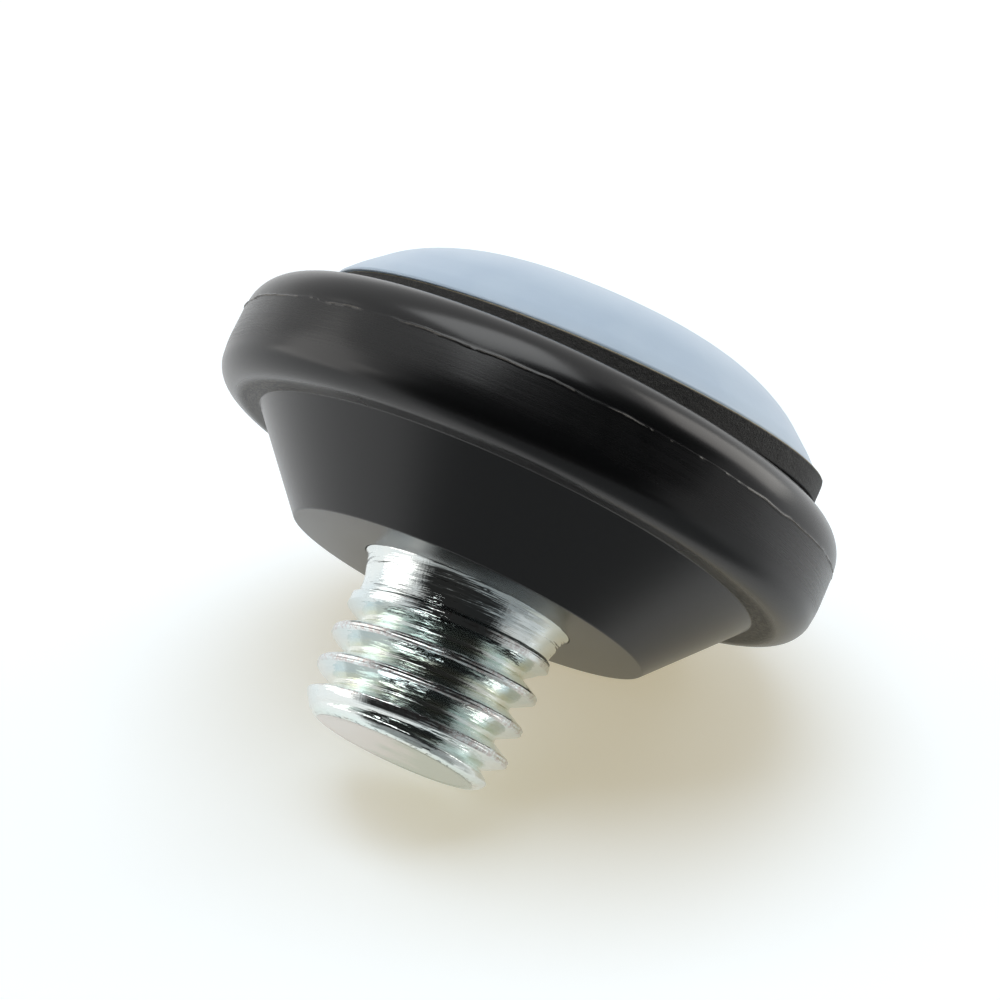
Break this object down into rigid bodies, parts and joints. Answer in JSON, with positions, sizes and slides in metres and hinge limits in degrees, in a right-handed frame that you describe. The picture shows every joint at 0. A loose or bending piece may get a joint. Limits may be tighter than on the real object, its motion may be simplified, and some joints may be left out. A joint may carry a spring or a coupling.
{
  "type": "threaded furniture glide",
  "caption": "Screw-in furniture glide: moulded plastic body on a threaded steel stud, with a rubber damping pad and a low domed slide cap.",
  "frame": {"origin": "on the stud's axis, at the height of the slide cap's lowest point, which is the floor", "axes": "+Z along the stud's axis towards its free end; +X and +Y square to it, with the pad shifted towards -X"},
  "size_m": [0.0232, 0.0232, 0.018],
  "materials": {
    "body_plastic": "black moulded plastic, glossy on the shoulder and satin on the band and cone, with a thin parting line",
    "zinc_steel": "bright zinc plating over steel, with faint yellow and pink tints in the thread roots",
    "pad_rubber": "black rubber with a dry, finely grained cut edge",
    "cap_ptfe": "pale blue-grey PTFE, smooth and softly translucent-looking at its edges",
    "adhesive": "cured clear adhesive"
  },
  "bodies": {
    "root": {"body": "body_plastic", "threaded_stud": "zinc_steel", "damping_pad": "pad_rubber", "slide_cap": "cap_ptfe", "glue_bed": "adhesive"}
  },
  "joints": []
}
